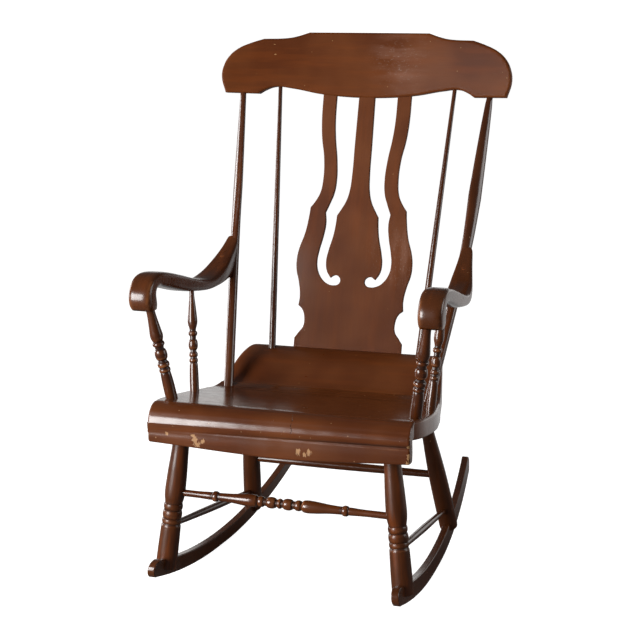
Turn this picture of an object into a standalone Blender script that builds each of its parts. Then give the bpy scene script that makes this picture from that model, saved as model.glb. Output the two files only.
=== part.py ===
"""A painted wooden rocking chair with a rolled seat and a lyre-shaped back splat.

Metres, +Z up. The floor is z = 0, the chair faces -Y and X runs across it. Every separate piece of wood
is one object: round ends sit in blind holes, boards in mortises and legs astride the runners, all with
the clearance GAP. Stations of turned pieces are (height, radius) or (distance from the middle, radius).
"""
import math

import bmesh
import bpy
from mathutils import Matrix, Vector

GAP = 0.0003
BORE_SIDES = 24
POST_SIDES = 16

# Seat: side profile as (y, z), plan as (x, y), and how far the plan sits off the chair's middle.
SEAT_THICKNESS = 0.036
SEAT_SHIFT = -0.0025
ROLL_JOINT_Y = -0.303
RISE_JOINT_Y = -0.013
PLANK_TOP_Z = 0.3690
FLAT_FRONT = (-0.236, 0.3600)
FLAT_BACK = (-0.156, 0.3500)
PLANK_HOLLOW = (-0.065, 0.3396)

# Front roll: its ends, the height of the fascia's foot there, how far the foot sags along its length, and
# how far the moulding line climbs from the left end, where it fades out, to the right end.
ROLL_ENDS = (-0.2565, 0.2525)
ROLL_FOOT_Z = 0.2985
ROLL_SAG = [(-0.2565, 0.0030), (-0.200, 0.0055), (-0.100, 0.0108), (0.0, 0.0140), (0.100, 0.0110),
            (0.200, 0.0055), (0.2525, 0.0030)]
MOULDING_CLIMB = 0.006

# Crest rail: a board leaning back, bowed so that its ends come forward.
CREST_THICKNESS = 0.022
CREST_LEAN = math.radians(8.0)
CREST_FOOT = Vector((0.0, 0.2556, 0.915))
CREST_BOW = 0.038
CREST_BOW_SPAN = 0.3

# Back splat: a flat board whose front face is the plane y = SPLAT_Y + SPLAT_SLOPE * z.
SPLAT_THICKNESS = 0.0085
SPLAT_SLOPE = 0.2763
SPLAT_Y = -0.005
SPLAT_FOOT_Z = 0.400
SPLAT_TENON = 0.016
SPLAT_TOP = 0.5345 + SPLAT_TENON

# Runners: sole arcs before and behind a short flat, and a top arc; they lean out and toe in.
RUNNER_THICKNESS = 0.0145
SOLE_FRONT_RADIUS = 1.13
SOLE_BACK_RADIUS = 0.98
SOLE_FLAT = (-0.065, -0.030)
RUNNER_TOP_RADIUS = 1.09
RUNNER_TOP_Y = -0.052
RUNNER_TOP_Z = 0.0295
RUNNER_X = 0.228
RUNNER_TOE_IN = 0.045
RUNNER_LEAN = 0.12

# Axes of the round pieces on the +X side, from the upper tip to the lower tip.
FRONT_LEG = (Vector((0.2003, -0.2841, 0.354)), Vector((0.2359, -0.3086, 0.042)))
REAR_LEG = (Vector((0.1829, 0.0139, 0.326)), Vector((0.2184, 0.1288, 0.030)))
FRONT_ARM_SPINDLE = (Vector((0.2711, -0.2875, 0.556)), Vector((0.2380, -0.2507, 0.3451)))
REAR_ARM_SPINDLE = (Vector((0.2560, -0.1101, 0.558)), Vector((0.2397, -0.1415, 0.328)))
BACK_SPINDLE = (Vector((0.1904, 0.2447, 0.943)), Vector((0.1581, 0.0875, 0.383)))
POST_TIP = Vector((0.2680, 0.2283, 0.9333))
POST_BEND = Vector((0.2490, 0.1170, 0.622))
POST_FOOT = Vector((0.2079, -0.0400, 0.3176))

# A post is flattened above its bend, and the flat faces outwards. A station is (place, half-width,
# half-depth), with its place 0 at the foot, 1 at the bend and 2 at the tip.
POST_TURN = math.radians(40.0)
POST_BEND_REACH = 0.16
POST_STATIONS = [(0.0, 0.0098, 0.0098), (0.13, 0.0098, 0.0098), (0.45, 0.0103, 0.0098),
                 (0.84, 0.0108, 0.0092), (0.92, 0.0109, 0.0090), (1.0, 0.0112, 0.0088),
                 (1.08, 0.0119, 0.0081), (1.16, 0.0128, 0.0076), (1.32, 0.0145, 0.0070),
                 (1.55, 0.0124, 0.0066), (1.76, 0.0100, 0.0061), (1.90, 0.0078, 0.0060),
                 (1.935, 0.0063, 0.0063), (2.0, 0.0063, 0.0063)]

# Heights at which the stretchers cross the leg axes.
FRONT_STRETCHER_Z = {"left": 0.1905, "right": 0.1855}
FRONT_STRETCHER_SHIFT = -0.007
SIDE_STRETCHER_FRONT_Z = 0.125
SIDE_STRETCHER_REAR_Z = 0.070
BACK_STRETCHER_Z = 0.1545

# Arm cross-sections from the tail to the scroll's foot:
# upper y and z, lower y and z, inner x and outer x.
ARM_SECTION_POINTS = 16
ARM_SQUARENESS = 0.5
ARM_STATIONS = [
    (0.1085, 0.6260, 0.0738, 0.5450, 0.2372, 0.2650),
    (0.0850, 0.6075, 0.0540, 0.5425, 0.2362, 0.2700),
    (0.0450, 0.5830, 0.0250, 0.5395, 0.2352, 0.2790),
    (0.0050, 0.5655, -0.0030, 0.5375, 0.2365, 0.2870),
    (-0.0450, 0.5590, -0.0450, 0.5365, 0.2405, 0.2925),
    (-0.1000, 0.5705, -0.0940, 0.5420, 0.2450, 0.2960),
    (-0.1500, 0.5845, -0.1420, 0.5505, 0.2485, 0.2985),
    (-0.2000, 0.5975, -0.1900, 0.5630, 0.2508, 0.3005),
    (-0.2350, 0.6048, -0.2280, 0.5735, 0.2528, 0.3015),
    (-0.2620, 0.6068, -0.2540, 0.5805, 0.2542, 0.3022),
    (-0.2850, 0.6025, -0.2680, 0.5795, 0.2550, 0.3027),
    (-0.3020, 0.5915, -0.2745, 0.5740, 0.2553, 0.3030),
    (-0.3120, 0.5775, -0.2750, 0.5665, 0.2553, 0.3030),
    (-0.3155, 0.5625, -0.2720, 0.5575, 0.2553, 0.3028),
    (-0.3125, 0.5485, -0.2700, 0.5485, 0.2556, 0.3020),
    (-0.3060, 0.5400, -0.2705, 0.5400, 0.2570, 0.2995),
]

PLUG_RADIUS = 0.0045
PLUG_DEPTH = 0.006

PAINT = (0.085, 0.028, 0.014, 1.0)


# ---------------------------------------------------------------- scene and materials

def clear_scene():
    for item in list(bpy.data.objects):
        bpy.data.objects.remove(item, do_unlink=True)


def new_collection(name):
    made = bpy.data.collections.new(name)
    bpy.context.scene.collection.children.link(made)
    return made


def paint(name, shade):
    """Brown gloss paint; `shade` lightens or darkens it a little from piece to piece."""
    material = bpy.data.materials.new(name + "_paint")
    material.use_nodes = True
    surface = material.node_tree.nodes["Principled BSDF"]
    red, green, blue, alpha = PAINT
    surface.inputs["Base Color"].default_value = (red * shade, green * shade, blue * shade, alpha)
    surface.inputs["Roughness"].default_value = 0.28
    return material


def add_piece(name, mesh, shade=1.0):
    piece = bpy.data.objects.new(name, mesh)
    chair.objects.link(piece)
    piece.data.materials.append(paint(name, shade))
    return piece


def add_cutter(name, mesh):
    cutter = bpy.data.objects.new(name, mesh)
    cutters.objects.link(cutter)
    cutter.hide_render = True
    cutter.display_type = "WIRE"
    return cutter


def combine(piece, cutter, operation):
    boolean = piece.modifiers.new(cutter.name, "BOOLEAN")
    boolean.operation = operation
    boolean.solver = "EXACT"
    boolean.object = cutter


def shade_smooth(mesh, degrees=35.0):
    for polygon in mesh.polygons:
        polygon.use_smooth = True
    mesh.set_sharp_from_angle(angle=math.radians(degrees))


# ---------------------------------------------------------------- mesh makers

def face_outwards(mesh):
    work = bmesh.new()
    work.from_mesh(mesh)
    bmesh.ops.remove_doubles(work, verts=work.verts, dist=0.000005)
    bmesh.ops.recalc_face_normals(work, faces=work.faces)
    work.to_mesh(mesh)
    work.free()


def mesh_from_curve(data):
    """The evaluated mesh of a curve, welded and facing out."""
    carrier = bpy.data.objects.new("carrier", data)
    bpy.context.scene.collection.objects.link(carrier)
    graph = bpy.context.evaluated_depsgraph_get()
    mesh = bpy.data.meshes.new_from_object(carrier.evaluated_get(graph))
    bpy.data.objects.remove(carrier, do_unlink=True)
    face_outwards(mesh)
    return mesh


def skin(rings):
    """A closed mesh over rings of equal length, with one face closing each end."""
    count = len(rings[0])
    points = [point for ring in rings for point in ring]
    faces = [tuple(range(count)), tuple(range(len(points) - count, len(points)))]
    for first in range(0, len(points) - count, count):
        for step in range(count):
            after = (step + 1) % count
            faces.append((first + step, first + after, first + count + after, first + count + step))
    mesh = bpy.data.meshes.new("skin")
    mesh.from_pydata(points, [], faces)
    face_outwards(mesh)
    return mesh


def slice_across(mesh, levels):
    """Cut the long faces of a mesh at these levels of x, so that it can bend."""
    work = bmesh.new()
    work.from_mesh(mesh)
    for level in levels:
        everything = work.verts[:] + work.edges[:] + work.faces[:]
        bmesh.ops.bisect_plane(work, geom=everything, dist=0.000001, plane_co=(level, 0, 0),
                               plane_no=(1, 0, 0))
    work.to_mesh(mesh)
    work.free()


def board(outline, half_thickness, steps=3, rounding=0.0):
    """A flat board in the local XY plane. Outline points are (u, v) when smooth, (u, v, 1) at a corner."""
    data = bpy.data.curves.new("board", "CURVE")
    data.dimensions = "2D"
    data.fill_mode = "BOTH"
    data.resolution_u = steps
    data.extrude = half_thickness - rounding
    data.bevel_depth = rounding
    data.bevel_resolution = 1
    data.offset = -rounding
    spline = data.splines.new("BEZIER")
    spline.bezier_points.add(len(outline) - 1)
    spline.use_cyclic_u = True
    for knot, point in zip(spline.bezier_points, outline):
        kind = "VECTOR" if len(point) == 3 else "AUTO"
        knot.co = (point[0], point[1], 0.0)
        knot.handle_left_type = kind
        knot.handle_right_type = kind
    return mesh_from_curve(data)


def side_board(outline, half_thickness, steps=3, rounding=0.0):
    """A board drawn as (y, z) in side view and centred on x = 0."""
    mesh = board(outline, half_thickness, steps, rounding)
    mesh.transform(Matrix(((0, 0, 1, 0), (1, 0, 0, 0), (0, 1, 0, 0), (0, 0, 0, 1))))
    return mesh


def mirror_outline(half):
    """Close a half outline, drawn on the +u side, with its mirror image."""
    return half + [(-point[0],) + tuple(point[1:]) for point in reversed(half)]


def mirror_mesh(mesh):
    mesh.transform(Matrix.Scale(-1.0, 4, Vector((1.0, 0.0, 0.0))))
    face_outwards(mesh)


def on_side(point, side):
    return Vector((point.x * side, point.y, point.z))


def on_axis(axis, height):
    top, bottom = axis
    return top.lerp(bottom, (top.z - height) / (top.z - bottom.z))


def along(axis, stations):
    """Turn (height, radius) stations into (distance from the top, radius)."""
    top, bottom = axis
    scale = (bottom - top).length / (top.z - bottom.z)
    return [((top.z - height) * scale, radius) for height, radius in stations]


def bead(middle, half, low, high):
    """A half-round ring: `low` is the radius at its foot and `high` at its crown."""
    turns = [math.pi * step / 4 for step in range(5)]
    return [(middle + half * math.cos(turn), low + (high - low) * math.sin(turn)) for turn in turns]


def point_down(piece, top, bottom):
    turn = Vector((0.0, 0.0, -1.0)).rotation_difference(bottom - top)
    piece.matrix_world = Matrix.Translation(top) @ turn.to_matrix().to_4x4()


def turned(name, top, bottom, profile, sides=16, shade=1.0):
    """A lathe-turned piece from `top` to `bottom`; the profile is (distance from the top, radius)."""
    length = (bottom - top).length
    points = [(0.0, 0.0, 0.0), (profile[0][1], 0.0, 0.0)]
    points += [(radius, 0.0, -distance) for distance, radius in profile]
    points += [(profile[-1][1], 0.0, -length), (0.0, 0.0, -length)]
    mesh = bpy.data.meshes.new(name)
    mesh.from_pydata(points, [(index, index + 1) for index in range(len(points) - 1)], [])
    piece = add_piece(name, mesh, shade)
    screw = piece.modifiers.new("lathe", "SCREW")
    screw.steps = sides
    screw.render_steps = sides
    screw.use_merge_vertices = True
    screw.merge_threshold = 0.00001
    screw.use_smooth_shade = True
    point_down(piece, top, bottom)
    return piece


def bore(host, tip, outward, radius, reach):
    """Drill `host` for a round end: the hole starts GAP beyond `tip` and runs `reach` outwards."""
    direction = (outward - tip).normalized()
    start = tip - direction * GAP
    length = reach + GAP
    work = bmesh.new()
    drill = (radius + GAP) / math.cos(math.pi / BORE_SIDES)
    bmesh.ops.create_cone(work, cap_ends=True, segments=BORE_SIDES, radius1=drill, radius2=drill,
                          depth=length)
    mesh = bpy.data.meshes.new("bore")
    work.to_mesh(mesh)
    work.free()
    cutter = add_cutter(host.name + "_bore", mesh)
    turn = Vector((0.0, 0.0, 1.0)).rotation_difference(direction)
    middle = start + direction * (length / 2)
    cutter.matrix_world = Matrix.Translation(middle) @ turn.to_matrix().to_4x4()
    combine(host, cutter, "DIFFERENCE")


# ---------------------------------------------------------------- seat

def seat_plan():
    """Outline of the plank and the rise from above, tapering in behind the arm spindles."""
    half = [(0.2500, -0.340, 1), (0.2505, -0.303, 1), (0.2560, -0.290), (0.2602, -0.272), (0.2625, -0.245),
            (0.2625, -0.190), (0.259, -0.145), (0.2530, -0.110), (0.2430, -0.057), (0.2320, -0.008),
            (0.219, 0.056), (0.2130, 0.084), (0.2075, 0.104), (0.1970, 0.119), (0.1830, 0.125, 1)]
    mesh = board(mirror_outline(half), 0.10, steps=3)
    mesh.transform(Matrix.Translation((SEAT_SHIFT, 0.0, 0.36)))
    return mesh


def seat_block(name, profile, shade, steps=3):
    piece = add_piece(name, side_board(profile, 0.28, steps), shade)
    combine(piece, seat_outline, "INTERSECT")
    shade_smooth(piece.data)
    return piece


def sag_at(x):
    for (left_x, left_sag), (right_x, right_sag) in zip(ROLL_SAG, ROLL_SAG[1:]):
        if x <= right_x + GAP:
            return left_sag + (right_sag - left_sag) * (x - left_x) / (right_x - left_x)
    return right_sag


def make_front_roll():
    """A half-round nosing over an upright fascia whose foot sags towards the middle."""
    top, foot = PLANK_TOP_Z, ROLL_FOOT_Z
    profile = [(ROLL_JOINT_Y, top, 1), (-0.3155, 0.3657), (-0.3258, 0.3588), (-0.3322, 0.3490),
               (-0.3357, 0.3400), (-0.3370, 0.3330), (-0.3350, 0.3235, 1), (-0.3335, 0.3205, 1), (-0.3355, 0.3180, 1),
               (-0.3355, foot + 0.003, 1), (-0.3330, foot, 1), (-0.3160, foot, 1),
               (-0.3130, foot + 0.003, 1), (-0.3130, top - SEAT_THICKNESS - 0.003, 1),
               (ROLL_JOINT_Y, top - SEAT_THICKNESS, 1)]
    left, right = ROLL_ENDS
    mesh = side_board(profile, (right - left) / 2)
    mesh.transform(Matrix.Translation(((left + right) / 2, 0.0, 0.0)))
    slice_across(mesh, [x for x, sag in ROLL_SAG[1:-1]])
    for vertex in mesh.vertices:
        if vertex.co.z < foot + 0.004:
            vertex.co.z -= sag_at(vertex.co.x)
        elif vertex.co.y < -0.331 and vertex.co.z < 0.334:
            share = (vertex.co.x - left) / (right - left)
            flush = -0.3355 - 0.1 * (vertex.co.z - 0.3180)
            vertex.co.y = flush + (vertex.co.y - flush) * share
            vertex.co.z += MOULDING_CLIMB * share
    add_piece("seat_front_roll", mesh, 1.05)
    shade_smooth(mesh)


def make_plank():
    front, back = ROLL_JOINT_Y + GAP, RISE_JOINT_Y - GAP / 2
    hollow_y, hollow_z = PLANK_HOLLOW
    profile = [(front, PLANK_TOP_Z, 1), (*FLAT_FRONT, 1), (*FLAT_BACK, 1), (hollow_y, hollow_z, 1),
               (-0.040, 0.3374), (back, 0.3413, 1), (back, 0.3025, 1),
               (hollow_y, hollow_z - SEAT_THICKNESS, 1), (front, PLANK_TOP_Z - SEAT_THICKNESS, 1)]
    return seat_block("seat_plank", profile, 1.0)


def make_back_rise():
    front = RISE_JOINT_Y + GAP / 2
    profile = [(front, 0.3415, 1), (0.010, 0.3520), (0.035, 0.3705), (0.060, 0.3855), (0.085, 0.3950),
               (0.105, 0.3980), (0.119, 0.3930), (0.1255, 0.3800), (0.1235, 0.3500), (0.105, 0.3220),
               (0.072, 0.3070), (0.030, 0.3025, 1), (front, 0.3025, 1)]
    return seat_block("seat_back_rise", profile, 0.95)


# ---------------------------------------------------------------- crest rail and splat

def bow_crest(mesh):
    """Lean the flat rail back and bring its ends forward."""
    slice_across(mesh, [step * 0.045 for step in range(-6, 7)])
    for vertex in mesh.vertices:
        across, up, back = vertex.co
        bow = -CREST_BOW * (across / CREST_BOW_SPAN) ** 2
        vertex.co = CREST_FOOT + Vector((across,
                                         up * math.sin(CREST_LEAN) + back * math.cos(CREST_LEAN) + bow,
                                         up * math.cos(CREST_LEAN) - back * math.sin(CREST_LEAN)))
    face_outwards(mesh)


def make_crest():
    half = [(0.0, -0.006), (0.100, 0.000), (0.165, 0.0115), (0.200, 0.0145), (0.222, 0.0070),
            (0.2335, 0.000, 1), (0.3030, 0.0020, 1), (0.3120, 0.036), (0.3080, 0.060), (0.2970, 0.0795),
            (0.2790, 0.0950), (0.2560, 0.1055), (0.2270, 0.1148, 1), (0.1740, 0.1168), (0.1580, 0.1198),
            (0.1300, 0.1285, 1)]
    mirrored = [(-point[0],) + tuple(point[1:]) for point in reversed(half[1:])]
    mesh = board(half + mirrored, CREST_THICKNESS / 2, steps=3, rounding=0.003)
    bow_crest(mesh)
    piece = add_piece("crest_rail", mesh, 1.0)
    shade_smooth(mesh)
    return piece


def splat_half():
    """Right half of the lyre: outer edge upwards, outer limb, slot with its hook, middle limb."""
    top, foot = SPLAT_TOP, -SPLAT_TENON
    outer = [(0.1165, foot, 1), (0.1165, 0.017, 1), (0.108, 0.029), (0.0995, 0.041), (0.098, 0.058),
             (0.104, 0.077), (0.1135, 0.0855, 1), (0.112, 0.105), (0.117, 0.1355), (0.124, 0.160),
             (0.1252, 0.184), (0.1225, 0.203), (0.1118, 0.238), (0.106, 0.273), (0.1042, 0.293, 1),
             (0.0938, 0.3075), (0.0854, 0.325), (0.0816, 0.350), (0.0835, 0.399), (0.0913, 0.440),
             (0.0952, 0.481), (0.0960, 0.533, 1), (0.0960, top, 1)]
    slot = [(0.0666, top, 1), (0.0666, 0.533, 1), (0.0655, 0.475), (0.062, 0.440), (0.0552, 0.396),
            (0.0525, 0.352), (0.0555, 0.325), (0.062, 0.306), (0.0708, 0.284, 1), (0.0682, 0.262),
            (0.0715, 0.234), (0.0785, 0.202), (0.0810, 0.180), (0.0775, 0.160), (0.067, 0.143),
            (0.0545, 0.134), (0.040, 0.1312), (0.0295, 0.1345), (0.0263, 0.143), (0.0310, 0.1505),
            (0.0395, 0.1525), (0.0485, 0.147, 1), (0.0575, 0.1615), (0.0604, 0.182), (0.0574, 0.202),
            (0.0493, 0.235), (0.0462, 0.256), (0.0446, 0.278, 1), (0.037, 0.2905), (0.027, 0.3095),
            (0.0212, 0.332), (0.0189, 0.361), (0.0183, 0.430), (0.0172, 0.533, 1), (0.0172, top, 1)]
    return outer + slot


def splat_frame():
    """Local (across, up the board, thickness) to world, at the foot of the splat's front face."""
    lean = math.atan(SPLAT_SLOPE)
    foot = Vector((0.0, SPLAT_Y + SPLAT_SLOPE * SPLAT_FOOT_Z, SPLAT_FOOT_Z))
    turn = Matrix.Rotation(math.pi / 2 - lean, 4, "X")
    return Matrix.Translation(foot) @ turn @ Matrix.Translation((0.0, 0.0, -SPLAT_THICKNESS / 2))


def make_splat():
    mesh = board(mirror_outline(splat_half()), SPLAT_THICKNESS / 2, steps=2)
    mesh.transform(splat_frame())
    add_piece("back_splat", mesh, 1.05)
    shade_smooth(mesh, 30.0)


def mortise(host, low, high):
    """A rectangular pocket for a splat tenon; corners are given in the splat's own plane."""
    half = SPLAT_THICKNESS / 2 + GAP
    corners = [(low[0] - GAP, low[1] - GAP, 1), (high[0] + GAP, low[1] - GAP, 1),
               (high[0] + GAP, high[1] + GAP, 1), (low[0] - GAP, high[1] + GAP, 1)]
    mesh = board(corners, half, steps=1)
    mesh.transform(splat_frame())
    combine(host, add_cutter(host.name + "_mortise", mesh), "DIFFERENCE")


# ---------------------------------------------------------------- posts, spindles and arms

def post_centre(place):
    """The post's centre line: two straight stretches joined by a short steam-bent curve."""
    if place <= 1 - POST_BEND_REACH:
        return POST_FOOT.lerp(POST_BEND, place)
    if place >= 1 + POST_BEND_REACH:
        return POST_BEND.lerp(POST_TIP, place - 1)
    t = (place - 1 + POST_BEND_REACH) / (2 * POST_BEND_REACH)
    lower = POST_FOOT.lerp(POST_BEND, 1 - POST_BEND_REACH)
    upper = POST_BEND.lerp(POST_TIP, POST_BEND_REACH)
    return lower.lerp(POST_BEND, t).lerp(POST_BEND.lerp(upper, t), t)


def post_mesh(side, extra=0.0):
    """The post, or with `extra` the slightly larger shape that notches the arm."""
    flat = Vector((math.cos(POST_TURN), math.sin(POST_TURN), 0.0))
    rings = []
    for place, half_width, half_depth in POST_STATIONS:
        centre = post_centre(place)
        tangent = (post_centre(min(place + 0.01, 2.0)) - post_centre(max(place - 0.01, 0.0))).normalized()
        wide = (flat - tangent * flat.dot(tangent)).normalized()
        deep = tangent.cross(wide)
        ring = []
        for step in range(POST_SIDES):
            turn = 2 * math.pi * step / POST_SIDES
            point = centre + wide * (half_width + extra) * math.cos(turn)
            ring.append(on_side(point + deep * (half_depth + extra) * math.sin(turn), side))
        rings.append(ring)
    return skin(rings)


def make_post(label, side):
    piece = add_piece("back_post_" + label, post_mesh(side), 0.95)
    shade_smooth(piece.data)
    foot, tip = POST_STATIONS[0], POST_STATIONS[-1]
    bore(seat_plank, on_side(POST_FOOT, side), on_side(POST_BEND, side), foot[1], 0.06)
    bore(crest, on_side(POST_TIP, side), on_side(POST_BEND, side), tip[1], 0.03)


def make_back_spindle(label, side):
    top, bottom = (on_side(point, side) for point in BACK_SPINDLE)
    stations = along(BACK_SPINDLE, [(0.915, 0.0043), (0.66, 0.0060), (0.42, 0.0073)])
    turned("back_spindle_" + label, top, bottom, stations, 12, 0.9)
    bore(crest, top, bottom, 0.0043, 0.03)
    bore(seat_rise, bottom, top, 0.0073, 0.04)


def arm_ring(station):
    """One cross-section of the arm: a squarish oval between its upper and lower points."""
    upper_y, upper_z, lower_y, lower_z, inner_x, outer_x = station
    middle = Vector(((inner_x + outer_x) / 2, (upper_y + lower_y) / 2, (upper_z + lower_z) / 2))
    across = Vector(((outer_x - inner_x) / 2, 0.0, 0.0))
    upwards = Vector((0.0, (upper_y - lower_y) / 2, (upper_z - lower_z) / 2))
    ring = []
    for step in range(ARM_SECTION_POINTS):
        turn = 2 * math.pi * (step + 0.5) / ARM_SECTION_POINTS
        sideways = math.copysign(abs(math.cos(turn)) ** ARM_SQUARENESS, math.cos(turn))
        up = math.copysign(abs(math.sin(turn)) ** ARM_SQUARENESS, math.sin(turn))
        ring.append(middle + across * sideways + upwards * up)
    return ring


def arm_mesh(side):
    """The arm swept from its tail at the post, along the dip and over into the scroll."""
    return skin([[on_side(point, side) for point in arm_ring(station)] for station in ARM_STATIONS])


def make_arm(label, side):
    piece = add_piece("arm_" + label, arm_mesh(side), 1.05)
    shade_smooth(piece.data)
    combine(piece, add_cutter("arm_notch_" + label, post_mesh(side, GAP)), "DIFFERENCE")
    return piece


def make_plug(label, side, arm):
    """The wooden plug that hides the screw through the arm's tail."""
    top = on_side(Vector((0.2560, 0.0580, 0.5909)), side)
    inward = Vector((0.0, 0.518, -0.855))
    bottom = top + inward * PLUG_DEPTH
    turned("arm_plug_" + label, top, bottom, [(0.001, PLUG_RADIUS)], 12, 1.5)
    bore(arm, bottom, top, PLUG_RADIUS, 0.02)


def make_front_arm_spindle(label, side, arm):
    axis = FRONT_ARM_SPINDLE
    heights = [(0.530, 0.0085), (0.505, 0.0108), (0.489, 0.0124), (0.4805, 0.0108), (0.4770, 0.0090)]
    heights += bead(0.4725, 0.0040, 0.0092, 0.0117) + bead(0.4515, 0.0100, 0.0082, 0.0120)
    heights += bead(0.4315, 0.0050, 0.0090, 0.0116) + bead(0.4205, 0.0038, 0.0094, 0.0110)
    heights += [(0.4140, 0.0102), (0.3880, 0.0114)]
    top, bottom = (on_side(point, side) for point in axis)
    turned("arm_front_spindle_" + label, top, bottom, along(axis, heights), 12, 1.05)
    bore(arm, top, bottom, 0.0085, 0.03)
    bore(seat_plank, bottom, top, 0.0114, 0.04)


def make_rear_arm_spindle(label, side, arm):
    axis = REAR_ARM_SPINDLE
    heights = [(0.538, 0.0050), (0.510, 0.0079), (0.486, 0.0098), (0.4735, 0.0070)]
    heights += bead(0.4630, 0.0045, 0.0066, 0.0089) + bead(0.4410, 0.0100, 0.0062, 0.0093)
    heights += bead(0.4215, 0.0045, 0.0068, 0.0087) + bead(0.4100, 0.0038, 0.0072, 0.0086)
    heights += [(0.4020, 0.0082), (0.3740, 0.0091)]
    top, bottom = (on_side(point, side) for point in axis)
    turned("arm_rear_spindle_" + label, top, bottom, along(axis, heights), 12, 1.0)
    bore(arm, top, bottom, 0.0050, 0.02)
    bore(seat_plank, bottom, top, 0.0091, 0.04)


# ---------------------------------------------------------------- runners, legs and stretchers

def sole_height(y, extra=0.0):
    """Height of the sole: an arc runs up from each end of the flat, which is z = 0."""
    if y <= SOLE_FLAT[0]:
        centre_y, radius = SOLE_FLAT[0], SOLE_FRONT_RADIUS
    else:
        centre_y, radius = SOLE_FLAT[1], SOLE_BACK_RADIUS
    return radius - math.sqrt((radius + extra) ** 2 - (y - centre_y) ** 2)


def runner_top_height(y, extra=0.0):
    centre = RUNNER_TOP_Z + RUNNER_TOP_RADIUS
    return centre - math.sqrt((RUNNER_TOP_RADIUS - extra) ** 2 - (y - RUNNER_TOP_Y) ** 2)


def runner_mesh(side, extra=0.0):
    """The runner, or with `extra` the slightly larger shape that cuts the slots in the legs."""
    sole_front = [-0.365 + 0.0375 * step for step in range(8)] + [SOLE_FLAT[0]]
    sole_back = [SOLE_FLAT[1]] + [0.012 + 0.0385 * step for step in range(10)]
    top = [0.352 - 0.0412 * step for step in range(18)]
    outline = [(-0.3745, 0.0490, 1)]
    outline += [(y, sole_height(y, extra), 1) for y in sole_front + sole_back]
    outline += [(0.3715, 0.0945, 1), (0.3755, 0.1020, 1), (0.3735, 0.1105, 1), (0.3660, 0.1125, 1)]
    outline += [(y, runner_top_height(y, extra), 1) for y in top]
    outline += [(-0.3600, 0.0705, 1), (-0.3705, 0.0665, 1), (-0.3755, 0.0585, 1)]
    mesh = side_board(outline, RUNNER_THICKNESS / 2 + extra, steps=1)
    for vertex in mesh.vertices:
        vertex.co.x += RUNNER_X - RUNNER_TOE_IN * vertex.co.y - RUNNER_LEAN * vertex.co.z
    if side < 0:
        mirror_mesh(mesh)
    return mesh


def make_runner(label, side):
    piece = add_piece("runner_" + label, runner_mesh(side), 0.8)
    shade_smooth(piece.data)
    return add_cutter("runner_slot_" + label, runner_mesh(side, GAP))


def make_front_leg(label, side, slot):
    axis = FRONT_LEG
    heights = [(0.308, 0.0157), (0.275, 0.0162), (0.235, 0.0184), (0.196, 0.0196), (0.182, 0.0188),
               (0.1710, 0.0170)]
    heights += bead(0.1635, 0.0050, 0.0168, 0.0183) + bead(0.1480, 0.0065, 0.0164, 0.0186)
    heights += bead(0.1345, 0.0045, 0.0170, 0.0184) + [(0.1270, 0.0176), (0.1240, 0.0187), (0.0800, 0.0199)]
    top, bottom = (on_side(point, side) for point in axis)
    piece = turned("front_leg_" + label, top, bottom, along(axis, heights), 16, 1.0)
    combine(piece, slot, "DIFFERENCE")
    bore(seat_plank, top, bottom, 0.0157, 0.04)
    return piece


def make_rear_leg(label, side, slot):
    axis = REAR_LEG
    heights = [(0.286, 0.0115), (0.240, 0.0135), (0.200, 0.0160), (0.155, 0.0180), (0.100, 0.0189)]
    top, bottom = (on_side(point, side) for point in axis)
    piece = turned("rear_leg_" + label, top, bottom, along(axis, heights), 16, 0.8)
    combine(piece, slot, "DIFFERENCE")
    bore(seat_rise, top, bottom, 0.0115, 0.04)
    return piece


def across_profile(middle, half_stations):
    """Turn (distance from the middle, radius) on one half into a full symmetric profile."""
    right = [(middle + distance, radius) for distance, radius in half_stations]
    left = [(middle - distance, radius) for distance, radius in reversed(half_stations)]
    return left + right


def make_front_stretcher():
    """Its five beads and two long swellings are centred a little to the left of its middle."""
    left = on_side(on_axis(FRONT_LEG, FRONT_STRETCHER_Z["left"]), -1)
    right = on_axis(FRONT_LEG, FRONT_STRETCHER_Z["right"])
    middle = (right - left).length / 2 + FRONT_STRETCHER_SHIFT
    stations = [(0.0006, 0.0096), (0.0030, 0.0080)] + bead(0.0165, 0.0085, 0.0080, 0.0110)[::-1]
    stations += bead(0.0370, 0.0050, 0.0080, 0.0102)[::-1]
    stations += [(0.0470, 0.0110), (0.0560, 0.0121), (0.0720, 0.0112), (0.0960, 0.0088), (0.1180, 0.0078)]
    stations += bead(0.1285, 0.0050, 0.0078, 0.0101)[::-1]
    stations += [(0.1400, 0.0076), (0.1650, 0.0066)]
    turned("front_stretcher", left, right, across_profile(middle, stations), 12, 1.1)
    bore(front_legs["left"], left, right, 0.0066, 0.04)
    bore(front_legs["right"], right, left, 0.0066, 0.04)


def make_back_stretcher():
    end = on_axis(REAR_LEG, BACK_STRETCHER_Z)
    half_length = end.x - 0.003
    left = Vector((-half_length, end.y, end.z))
    right = Vector((half_length, end.y, end.z))
    stations = [(0.010, 0.0088), (0.090, 0.0085), (0.165, 0.0076)]
    turned("back_stretcher", left, right, across_profile(half_length, stations), 12, 0.7)
    bore(rear_legs["left"], left, right, 0.0076, 0.04)
    bore(rear_legs["right"], right, left, 0.0076, 0.04)


def make_side_stretcher(label, side):
    front = on_side(on_axis(FRONT_LEG, SIDE_STRETCHER_FRONT_Z), side)
    rear = on_side(on_axis(REAR_LEG, SIDE_STRETCHER_REAR_Z), side)
    half_length = (rear - front).length / 2
    stations = [(0.020, 0.0074), (0.100, 0.0066), (half_length - 0.045, 0.0055)]
    turned("side_stretcher_" + label, front, rear, across_profile(half_length, stations), 12, 0.85)
    bore(front_legs[label], front, rear, 0.0055, 0.04)
    bore(rear_legs[label], rear, front, 0.0055, 0.04)


# ---------------------------------------------------------------- assembly

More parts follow.
